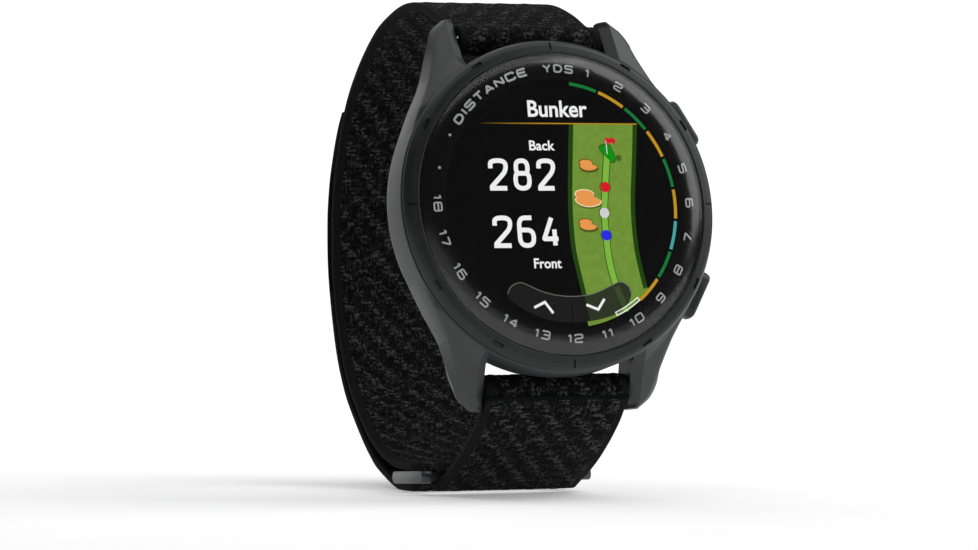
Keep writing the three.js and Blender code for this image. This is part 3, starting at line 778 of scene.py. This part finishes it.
def hole_map():
    left, right = smooth_curve(MAP_LEFT, 0.6), smooth_curve(MAP_RIGHT, 0.6)
    low_right, low_left = [math.degrees(math.atan2(x, y)) for x, y in (right[-1], left[-1])]
    rim = dial_arc(low_right, low_left, 15.95, 14)
    route = smooth_curve(ROUTE, 0.3)
    show("turf", 0, TURF, fills=[np.vstack([left, rim[::-1], right[::-1]])])
    show("turf_edges", 0.014, LIT["turf_edge"], [(left[:-1] + [0.3, 0], 0.6), (right[:-1] - [0.3, 0], 0.6)])
    rounds = [disc(centre, 0.8) for centre, _ in DOTS.values()]
    rounds.append(closed_curve(GREEN, GREEN_PLACE, (1.06, 1.06)))
    show("path_lines", 0.028, LIT["path_line"], [(route, 1.06)], rounds)
    show("path", 0.042, LIT["path"], [(route, 0.82)])
    show("shade", 0.042, LIT["shade"], fills=[disc((8.35, 6.0), 0.42), *bunkers(0.1, shift=(0.06, -0.16))])
    show("sand_edges", 0.056, LIT["sand_edge"], fills=bunkers(0.05, BUNKERS[::2]))
    show("sand_rim", 0.056, LIT["sand_rim"], fills=bunkers(0.06, BUNKERS[1:2]))
    show("sand", 0.07, LIT["sand"], fills=bunkers(-0.07))
    show("green", 0.07, LIT["putting_green"], fills=[closed_curve(GREEN, GREEN_PLACE, (0.92, 0.92))])
    show("flag_pole", 0.084, LIT["dot_white"], [([(6.78, 6.5), (6.74, 8.3)], 0.13)])
    show("flag", 0.084, LIT["red"], fills=[closed_curve(FLAG, (6.68, 8.22))])
    for name, (centre, colour) in DOTS.items():
        show("dot_" + name, 0.07, LIT[colour], fills=[disc(centre, 0.68)])


def readings():
    """The title, the two distances with their labels, and the rule under the title."""
    white = Layer(0)
    white.text("Bunker", (0.31, 12.47), 2.17, 8.28)
    white.text("Back", (-2.22, 7.65), 1.3, 3.55)
    white.text("Front", (-2.66, -7.62), 1.3, 3.82)
    columns = ((-8.54, 2.72), (-5.28, 2.5), (-1.92, 2.6))
    for number, middle in (("282", 3.83), ("264", -3.57)):
        for digit, (at, wide) in zip(number, columns):
            white.sign(TALL_SIGNS[digit], (at, middle), (wide, 4.18), 0.6)
    white.finish("screen_readings", LIT_WHITE, "screen")
    show("rule", 0.03, RULE, [([(-10.8, 10.47), (11.3, 10.47)], 0.15)])


def hole_ring():
    """One short arc for each hole played, round the display's edge."""
    for name, holes in {"green": (1, 3, 5, 8), "amber": (2, 4, 6, 9), "cyan": (7,)}.items():
        arcs = [(dial_arc(hole * 15 - 6.85, hole * 15 + 6.85, 15.85), 0.42) for hole in holes]
        show("arcs_" + name, 0.012, LIT[name], arcs)
    current = Layer(0.13)
    outline = np.vstack([dial_arc(142.3, 156.3, 15.82), dial_arc(156.3, 142.3, 15.38)])
    current.stroke(outline, 0.13, closed=True)
    current.finish("screen_current_hole", LIT_WHITE, "screen")


BAR_TOP = [
    (-8.57, -11.56), (-8.05, -10.66), (-6.78, -10.15), (-5.71, -10.48), (-3.99, -11.24),
    (-2.04, -11.76), (0.18, -11.97), (2.41, -11.82), (4.0, -11.41), (5.84, -10.62), (7.22, -10.14),
    (8.28, -10.73), (8.6, -11.66),
]
BAR_BOTTOM = [
    (7.98, -13.0), (6.43, -14.18), (4.6, -14.8), (2.57, -15.17), (-0.1, -15.32), (-2.76, -15.07),
    (-5.35, -14.18), (-7.25, -13.1), (-8.3, -12.27),
]
UP_ARROW = [(-5.06, -13.37), (-3.55, -12.68), (-2.5, -14.1)]
DOWN_ARROW = [(2.19, -13.06), (3.78, -13.68), (4.76, -12.33)]


def page_bar():
    """The curved, see-through bar at the bottom with an up and a down arrow."""
    outline = closed_curve(BAR_TOP + BAR_BOTTOM)
    edge_x, edge_y = np.array(MAP_LEFT).T
    over = outline[outline[:, 0] > np.interp(-outline[:, 1], -edge_y, edge_x)]
    show("bar", 0.098, LIT["bar"], fills=[outline])
    show("bar_over_turf", 0.112, LIT["bar_over_turf"], fills=[over])
    under = [(6.6, -10.75), (7.05, -12.0), (7.5, -13.2)]
    show("bar_over_path", 0.118, LIT["bar_over_path"], [(under, 0.8)])
    show("bar_lines", 0.126, LIT["bar_line"], [(smooth_curve(BAR_TOP, 0.2), 0.1)])
    show("bar_gap", 0.126, SCREEN_BLACK, [([(0.15, -12.5), (0.1, -15.3)], 0.1)])
    show("arrows", 0.13, LIT_WHITE, [(UP_ARROW, 0.34), (DOWN_ARROW, 0.34)])


# ------ case, lugs and buttons


def lug_front(across, up):
    """The height of a lug's sloping front."""
    return -3.45 - 0.4825 * (up - 19.4) - 0.2 * (across - LUG_GAP)


def root_height(across, up):
    """The height of the steep slope that falls from the case's wall to a lug's front."""
    return -2.05 - 1.3 * (math.hypot(across, up) - CASE_RADIUS)


def cut(obj, tools):
    for tool in tools:
        modifier = obj.modifiers.new("cut", "BOOLEAN")
        modifier.object = tool
        modifier.operation = "DIFFERENCE"
        modifier.solver = "EXACT"
    mesh = evaluated(obj)
    obj.modifiers.clear()
    obj.data = mesh
    for tool in tools:
        bpy.data.objects.remove(tool)


def round_edges(obj, width, degrees):
    """Rounds the edges that are sharper than an angle."""
    edge = obj.modifiers.new("edges", "BEVEL")
    edge.width = width * MM
    edge.segments = 2
    edge.limit_method = "ANGLE"
    edge.angle_limit = math.radians(degrees)


LUG_OUTLINE = [
    # how far up, half width at the front's edge, half width at the widest level
    (7.0, 20.25, 20.25), (8.5, 19.7, 19.7), (10, 19.08, 19.08), (11.5, 18.45, 18.42), (12.9, 17.8, 17.8),
    (14.2, 17.05, 17.1), (15.4, 16.4, 16.5), (16.9, 15.65, 15.85), (18.7, 14.95, 15.3),
    (20.4, 14.35, 14.85), (21.9, 13.95, 14.4), (23.2, 13.5, 13.9), (24.0, 13.1, 13.45),
    (24.6, 12.45, 12.8), (25.0, 11.95, 12.25), (25.3, 11.65, 11.85), (25.4, 11.55, 11.7),
]
WIDEST_LEVEL = -6.5
SLANT_WIDTH = 1.3  # of the cut along a lug's inner edge
SLANT_DEPTH = 0.9


def lug_section(up):
    """Points (across, height) round a lug at one distance up from the face's centre."""
    heights, edges, widths = np.array(LUG_OUTLINE).T
    edge, widest = np.interp(up, heights, edges), np.interp(up, heights, widths)
    inner = max(LUG_GAP, math.sqrt(19.6 ** 2 - min(up, 19.5) ** 2))
    share = np.clip((up - 17) / 2, 0.02, 1)
    start, stop = inner + SLANT_WIDTH * share, edge - 0.5
    start = min(start, stop - 0.1)
    places = np.linspace(start, stop, 60)
    steep = [x for x in places if root_height(x, up) > lug_front(x, up)]
    crease = np.clip(steep[-1] if steep else start, start + 0.03, stop - 0.03)

    def top(x):
        return min(max(lug_front(x, up), root_height(x, up)), -1.85)

    across = np.concatenate([np.linspace(start, crease, 6), np.linspace(crease, stop, 6)[1:]])
    front = [(x, top(x)) for x in across]
    rim = top(edge)
    turns = (0.35, 0.7, 1.05, 1.4)
    rounded = [(edge - 0.5 + 0.5 * math.sin(a), rim - 0.5 + 0.5 * math.cos(a)) for a in turns]
    wide = min(WIDEST_LEVEL, rim - 0.9)
    foot = min(np.interp(up, [18.5, 20.5, 24.2, 25.4], [-8.65, -9.25, -9.25, -8.3]), wide - 0.6)
    side = [(widest, wide), (widest - 0.12, wide - 0.25)]
    below = [(widest - 1.0, foot + 0.08), (widest - 1.15, foot)]
    slant = (inner, front[0][1] - SLANT_DEPTH * share)
    return [(inner, foot), slant] + front + rounded + side + below


def lug_solid(sideways, upwards):
    """One lug as a row of sections: it grows out of the case's wall and narrows to its tip."""
    ups = np.concatenate([np.linspace(7.2, 23.8, 60), [24.1, 24.4, 24.7, 24.95, 25.15, 25.3, 25.38]])
    sections = [[(x, up, z) for x, z in lug_section(up)] for up in ups]
    last = np.array(sections[-1])
    middle = last.mean(axis=0)
    sections.append((middle + (last - middle) * [0.9, 1, 0.9] + [0, 0.05, 0]).tolist())
    points = np.array(sections)
    return points.reshape(-1, 3) * [sideways, upwards, 1], capped(*points.shape[:2])


def joined(first, others):
    """Puts the other meshes into the first one."""
    shell = bmesh.new()
    for obj in [first, *others]:
        shell.from_mesh(obj.data)
    shell.to_mesh(first.data)
    shell.free()
    for obj in others:
        bpy.data.objects.remove(obj)


def button_shape(side, length, height, corner, levels):
    """A rounded rectangle swept outwards at a button's place: levels give (distance out, inset)."""
    loops = []
    for out, inset in levels:
        r = max(corner - inset, 0.15)
        x, y = length / 2 - inset - r, height / 2 - inset - r
        middles = ((x, -y), (x, y), (-x, y), (-x, -y))
        loop = np.vstack([arc(m, r, 90 * k - 90, 90 * k, 5) for k, m in enumerate(middles)])
        loops.append(np.column_stack([np.full(len(loop), out), loop]))
    angle = math.radians(side * BUTTON_ANGLE)
    c, s = math.cos(angle), math.sin(angle)
    points = np.vstack(loops) @ np.array([[c, s, 0], [-s, c, 0], [0, 0, 1]]) + [0, 0, BUTTON_LEVEL]
    return points, capped(len(loops), len(loops[0]))


def button_pocket(side):
    return loose("pocket", *button_shape(side, 7.0, 3.4, 1.25, [(20.5, 0), (26, 0)]))


def case():
    profile = soften(
        [(18.3, -8.7), (20.3, -8.7), (21.5, -6.5), (21.5, -1.7), (19.3, -1.7), (19.3, -7.6), (18.3, -7.9)],
        [0.1, 0.5, 0.4, 0.26, 0.1, 0.1, 0.1], 3,
    )
    obj = piece("case", *turned(profile, even_angles(192)), RESIN, "case_resin", body=None)
    tools = [button_pocket(side) for side in (1, -1)]
    for side in (1, -1):
        ring = arc((side * BAR_ACROSS, BAR_HEIGHT), STRAP_ROOM, 0, 348.75, 31)
        tools.append(loose("strap_room", *extruded(ring, LUG_GAP)))
    cut(obj, tools)
    lugs = [loose("lug", *lug_solid(x, y)) for x in (1, -1) for y in (1, -1)]
    for side, lug in zip((1, -1), lugs):
        cut(lug, [button_pocket(side)])
    joined(obj, lugs)
    obj.data.materials.clear()
    obj.data.materials.append(RESIN)
    round_edges(obj, 0.12, 30)
    obj.data.shade_smooth()
    obj.data.set_sharp_from_angle(angle=math.radians(28))
    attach(obj, "watch")
    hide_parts("case_body")


def buttons():
    levels = [(21.08, 0), (22.7, 0), (22.95, 0.05), (23.14, 0.17), (23.26, 0.36), (23.3, 0.6)]
    for place, side in (("upper", 1), ("lower", -1)):
        shape = button_shape(side, 6.6, 3.0, 1.1, levels)
        obj = piece(f"{place}_button_cap", *shape, BEZEL, "bezel_metal", f"{place}_button")
        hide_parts(f"button_{place}")


# ------ woven strap

SELVAGE = 1.15
RELIEF = 0.12
ACROSS_STEP = END_PITCH / 4
ALONG_STEP = PICK_PITCH / 4


def twill_relief(across, along):
    """How far the cloth's surface swells at each place, from 0 to 1."""
    end, pick = np.floor(across / END_PITCH), np.floor(along / PICK_PITCH)
    u, v = across / END_PITCH - end, along / PICK_PITCH - pick
    phase = np.mod(end - pick, 4)
    crosswise = np.sin(np.pi * np.clip((phase - 2 + u) / 2, 0, 1)) ** 0.5 * np.sin(np.pi * v) ** 0.5
    lengthwise = 0.6 * np.sin(np.pi * u) ** 0.5
    return np.where(phase >= 2, crosswise, lengthwise)


def ribbon(name, path, lean_out=1, lean_in=1, body="watch", taper=None):
    """Woven webbing along a path. Each lean says which way the twill's bands run on that side.

    A taper gives the left and right sides' shares of the full depth.
    """
    path = evenly(path, ALONG_STEP)
    normal = left_of(path)
    along = np.arange(len(path)) * ALONG_STEP
    half = STRAP_WIDTH / 2
    columns = (np.arange(-44, 44) + 0.5) * ACROSS_STEP
    edge = np.array([(half - 0.12, 0.86), (half, 0.3), (half, -0.3), (half - 0.12, -0.86)])
    body_half = STRAP_THICKNESS / 2 - RELIEF
    left, right = np.ones((2, len(path), 1)) if taper is None else taper(along[:, None], along[-1])
    rim = np.clip((np.abs(columns) - (half - SELVAGE)) / 0.2, 0, 1)
    points = []
    cloth = []
    for sign, lean, share in ((1, lean_out, left), (-1, lean_in, right)):
        x, smooth = columns[::sign], rim[::sign]
        place = along[:, None] + (0 if sign > 0 else 40 * PICK_PITCH)
        relief = twill_relief(lean * x, place) * (1 - smooth) + 0.4 * smooth
        points.append(stacked(x, sign * (body_half * share + RELIEF * relief)))
        cloth.append(stacked(lean * x, place, smooth))
        x, depth = sign * edge[:, 0], sign * edge[:, 1] * (body_half + RELIEF * 0.5)
        points.append(stacked(x, depth * np.where(depth > 0, left, right)))
        cloth.append(stacked(x, along[:, None], 1.0))
    points, cloth = np.hstack(points), np.hstack(cloth)
    side = path[:, None, :] + normal[:, None, :] * points[..., 1:]
    solid = np.concatenate([points[..., :1], side], -1).reshape(-1, 3)
    obj = piece(name, solid, capped(*points.shape[:2]), WEAVE, "woven_strap", None, loop_place)
    attribute = obj.data.attributes.new("cloth", "FLOAT_VECTOR", "POINT")
    attribute.data.foreach_set("vector", cloth.astype(np.float32).ravel())
    if body:
        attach(obj, body)
    return obj


def bar_place(upwards):
    """A spring bar's middle, seen from the side."""
    middle = UPWARD * (upwards * BAR_ACROSS) + NORMAL * BAR_HEIGHT
    return middle.y, middle.z


TAIL_FOLD = (41.4, -34.05)
LONG_OUTER = [
    (14.6, 23.35), (18.6, 24.9), (23.5, 26.2), (27, 26.6), (30.4, 26.3), (34, 25.4), (38.4, 23.8),
    (41.8, 21.8), (45, 19.4), (47.6, 17), (49.5, 14.9), (51, 12.75), (52.6, 9.9), (53.9, 6.6),
    (55, 3), (55.7, -1), (55.85, -4.5), (55.6, -9), (54.5, -14.3), (52.4, -20), (49.7, -24.6),
    (46.5, -27.9), (43, -30.9), (39.6, -32.9), (36.2, -34.2), (33, -34.95), (30, -35.2), (27.8, -35.2),
]
TAIL_OUTER = [
    (51.9, 12.75), (53.3, 10.8), (54.6, 8.3), (55.9, 5.1), (56.8, 2.1), (57.4, -2.2), (57.2, -8.7),
    (55.9, -14.8), (53.8, -20.9), (50.9, -25.7), (47.6, -29.1), (44, -32.2), TAIL_FOLD,
    (39.3, -35.3), (35.2, -36.85), (32.3, -37.7), (30.7, -37.9), (27.3, -37.9),
]
SHORT_OUTER = [(2.3, -26.4), (3.9, -28.2), (6.6, -30.55), (9.8, -32.9), (13.1, -34.9), (16.2, -36.4)]
HALF_STRAP = STRAP_THICKNESS / 2
PATH_STEP = 0.3
HOOKS_FROM = 9.5  # the hook tape's ends, from the free end's tip
HOOKS_TO = 25  # between them the webbing is thinned to its middle
HOOK_PITCH = 0.8
# One hook: places along and out from the webbing's middle, with the hook's radius at each.
HOOK = [(0, 0.15, 0.13), (0.02, 0.34, 0.11), (0.1, 0.46, 0.09), (0.24, 0.5, 0.08), (0.34, 0.42, 0.06)]


def middle_of(outer, side):
    """The middle line of a layer whose outer face is given; side is -1 where the inside is on the right."""
    path = smooth_curve(outer, PATH_STEP)
    return path + left_of(path) * side * HALF_STRAP


def hook_tape(path):
    """Hook tape let into the free end's inner side: a thin backing with rows of small bent hooks."""
    outward = left_of(path)
    first, last = int(HOOKS_FROM / PATH_STEP), int(HOOKS_TO / PATH_STEP)
    half = STRAP_WIDTH / 2 - 1

    def at(across, along, depth):
        """Where a place on the tape is: its depth is measured from the webbing's middle."""
        k = np.clip(along / PATH_STEP, 0, len(path) - 1.001)
        low = np.floor(k).astype(int)
        rest = (k - low)[..., None]
        middle = path[low] * (1 - rest) + path[low + 1] * rest
        side = outward[low] * (1 - rest) + outward[low + 1] * rest
        return np.concatenate([across[..., None], middle - side * depth[..., None]], -1)

    along = np.arange(first, last) * PATH_STEP
    corners = np.array([(-half, 0.02), (half, 0.02), (half, 0.2), (-half, 0.2)])
    grid = np.broadcast_arrays(corners[:, 0], along[:, None], corners[:, 1])
    points = [at(*grid).reshape(-1, 3)]
    faces = capped(len(along), 4)

    bend = np.array(HOOK)
    turns = even_angles(5)
    lean = unit(np.gradient(bend[:, :2], axis=0))
    hook_across = bend[:, 2, None] * np.cos(turns)
    hook_along = bend[:, 0, None] + bend[:, 2, None] * np.sin(turns) * lean[:, 1, None]
    hook_depth = bend[:, 1, None] - bend[:, 2, None] * np.sin(turns) * lean[:, 0, None]
    hook_faces = capped(len(bend), len(turns))
    for row, place in enumerate(np.arange(HOOKS_FROM + 0.5, HOOKS_TO - 0.6, HOOK_PITCH)):
        facing = 1 if row % 2 else -1
        for x in np.arange(-half + 0.4 + 0.25 * (row % 2), half - 0.3, HOOK_PITCH):
            start = sum(map(len, points))
            hook = at(x + facing * hook_across, place + facing * hook_along, hook_depth)
            points.append(hook.reshape(-1, 3))
            faces += [tuple(start + k for k in face) for face in hook_faces]
    tape = piece("hook_tape", np.vstack(points), faces, HOOKS, "hook_tape", "free_end", loop_place)
    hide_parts("hook_patch")


def straps():
    upper, lower = bar_place(1), bar_place(-1)
    roll = EYE_BORE + HALF_STRAP
    wrap = RING_EYE_BORE + HALF_STRAP
    round_bar, round_ring = arc(upper, roll, 8, -300, 60), arc(RING_REAR, wrap, 92, 268, 30)
    inner = ribbon("strap_inner", np.vstack([round_bar, middle_of(LONG_OUTER, -1), round_ring]))
    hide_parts("strap_long")

    def thin_tip(along, length):
        from_tip = length - along
        tip = np.interp(from_tip, [0, 3, 9], [0.35, 0.6, 1.0])
        limits = [HOOKS_FROM - 0.8, HOOKS_FROM - 0.4, HOOKS_TO + 0.4, HOOKS_TO + 0.8]
        outside = np.interp(from_tip, limits, [1, 0, 0, 1])
        return tip * outside, tip

    tail = middle_of(TAIL_OUTER, -1)
    outer = ribbon("strap_outer", tail[::-1], -1, -1, body=None, taper=thin_tip)
    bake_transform(outer)
    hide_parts("strap_tail")
    hook_tape(tail)

    round_bar, round_ring = arc(lower, roll, 292, 572, 56), arc(RING_FRONT, wrap, 258, 516, 50)
    short_path = np.vstack([round_bar, middle_of(SHORT_OUTER, 1), round_ring])
    short = ribbon("strap_short_woven", short_path[::-1], -1, -1)
    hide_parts("strap_short")

    outline = np.vstack([arc(lower, roll + 0.7, 198, 213, 6), arc(lower, roll + 0.5, 213, 198, 6)])
    piece("seam", *extruded(outline, STRAP_WIDTH / 2 - 0.05), THREAD, "woven_strap", place=loop_place)


# ------ CAD pieces that stay

FINISHES = {
    "lens_mask": PRINT_BLACK, "display_panel": SENSOR, "mid_frame": MOULDED, "gps_antenna": GOLD,
    "battery": FOIL, "vibration_motor": STEEL, "main_board": BOARD, "board_shield": STEEL,
    "back_cover": MOULDED, "back_gasket": RUBBER, "sensor_window": SENSOR, "sensor_board": BOARD,
    "charge_socket": MOULDED, "strap_ring": RING_FINISH,
}
GROUP_FINISHES = {
    "charge_pin": GOLD, "back_screw": STEEL, "button_seal": RUBBER, "button_clip": STEEL,
    "side_switch": MOULDED, "upper_bar": STEEL, "lower_bar": STEEL,
}
EDGE_WIDTHS = {"strap_ring": 0.32, "back_cover": 0.12, "sensor_window": 0.1, "back_screw": 0.08}


def finish_cad_nodes():
    """Gives each CAD piece its finish, joins its corners and rounds its edges a little."""
    for name, obj in frame["nodes"].items():
        group = next((g for g in GROUP_FINISHES if name.startswith(g)), None)
        finish = FINISHES.get(name) or GROUP_FINISHES.get(group)
        if finish is None:
            continue
        obj.data.materials.clear()
        obj.data.materials.append(finish)
        if "custom_normal" in obj.data.attributes:
            obj.data.attributes.remove(obj.data.attributes["custom_normal"])
        obj.data.shade_smooth()
        obj.modifiers.new("weld", "WELD").merge_threshold = 1e-6
        round_edges(obj, EDGE_WIDTHS.get(name, EDGE_WIDTHS.get(group, 0.05)), 35)
        obj.modifiers.new("split", "EDGE_SPLIT").split_angle = math.radians(32)


# ------ floor, light and camera

VIEW_TURN = math.radians(-23.9)
VIEW_DISTANCE = 650.0
AIM_LEFT = 9.35
AIM_DOWN = 9.04
LENS_MM = 187.8
FLOOR_GLOW = 0.3


def studio():
    mesh = bpy.data.meshes.new("floor")
    corners = [(x, y, 0) for x, y in ((-1.05, -1.05), (1.05, -1.05), (1.05, 0.35), (-1.05, 0.35))]
    mesh.from_pydata(corners, [], [(0, 1, 2, 3)])
    floor = linked("floor", mesh)
    look = material("pale_floor")
    look.fill(look.shader, Base_Color=(0.86, 0.86, 0.86, 1), Roughness=0.8, Specular_IOR_Level=0.0)
    look.fill(look.shader, Emission_Color=WHITE, Emission_Strength=FLOOR_GLOW)
    mesh.materials.append(look.owner)

    # The camera sees a white world, which lights the watch only a little.
    world = Look(bpy.data.worlds.new("studio"), "Background")
    bpy.context.scene.world = world.owner
    seen = world.add("LightPath", "Is Camera Ray")
    strength = world.add("MapRange", "Result", Value=seen, To_Min=0.05, To_Max=1.1)
    world.fill(world.shader, Color=WHITE, Strength=strength)


def softbox(name, azimuth, elevation, distance, width, height, radiance):
    """A soft light round the watch. Azimuth 0 is in front of it and 90 to its right; lengths in metres."""
    data = bpy.data.lights.new(name, "AREA")
    data.shape = "RECTANGLE"
    data.size = width
    data.size_y = height
    data.energy = radiance * math.pi * width * height
    light = linked(name, data)
    a, e = math.radians(azimuth), math.radians(elevation)
    away = Vector((math.sin(a) * math.cos(e), -math.cos(a) * math.cos(e), math.sin(e)))
    light.location = Vector((0, 0, 0.035)) + away * distance
    light.rotation_euler = away.to_track_quat("Z", "Y").to_euler()


def camera():
    data = bpy.data.cameras.new("camera")
    data.sensor_width = 36
    data.lens = LENS_MM
    data.clip_start = 0.01
    view = linked("camera", data)
    back = Vector((math.sin(VIEW_TURN), -math.cos(VIEW_TURN), 0))
    right = Vector((math.cos(VIEW_TURN), math.sin(VIEW_TURN), 0))
    view.location = (FACE + back * VIEW_DISTANCE) * MM
    aim = (FACE - right * AIM_LEFT - Vector((0, 0, AIM_DOWN))) * MM
    view.rotation_euler = (view.location - aim).to_track_quat("Z", "Y").to_euler()
    bpy.context.scene.camera = view


camera()
studio()
softbox("overhead", 180, 87, 1.0, 1.3, 1.6, 1.05)
softbox("right_side", 72, 34, 0.85, 0.72, 0.8, 2.6)
softbox("rear", -165, 22, 0.9, 1.1, 0.85, 1.0)
softbox("front_low", -5, 1, 0.8, 1.3, 0.26, 0.45)

bezel()
lens_and_print()
printed_dial()
hole_map()
readings()
hole_ring()
page_bar()
case()
buttons()
straps()
finish_cad_nodes()

bpy.context.scene.view_settings.view_transform = "Standard"
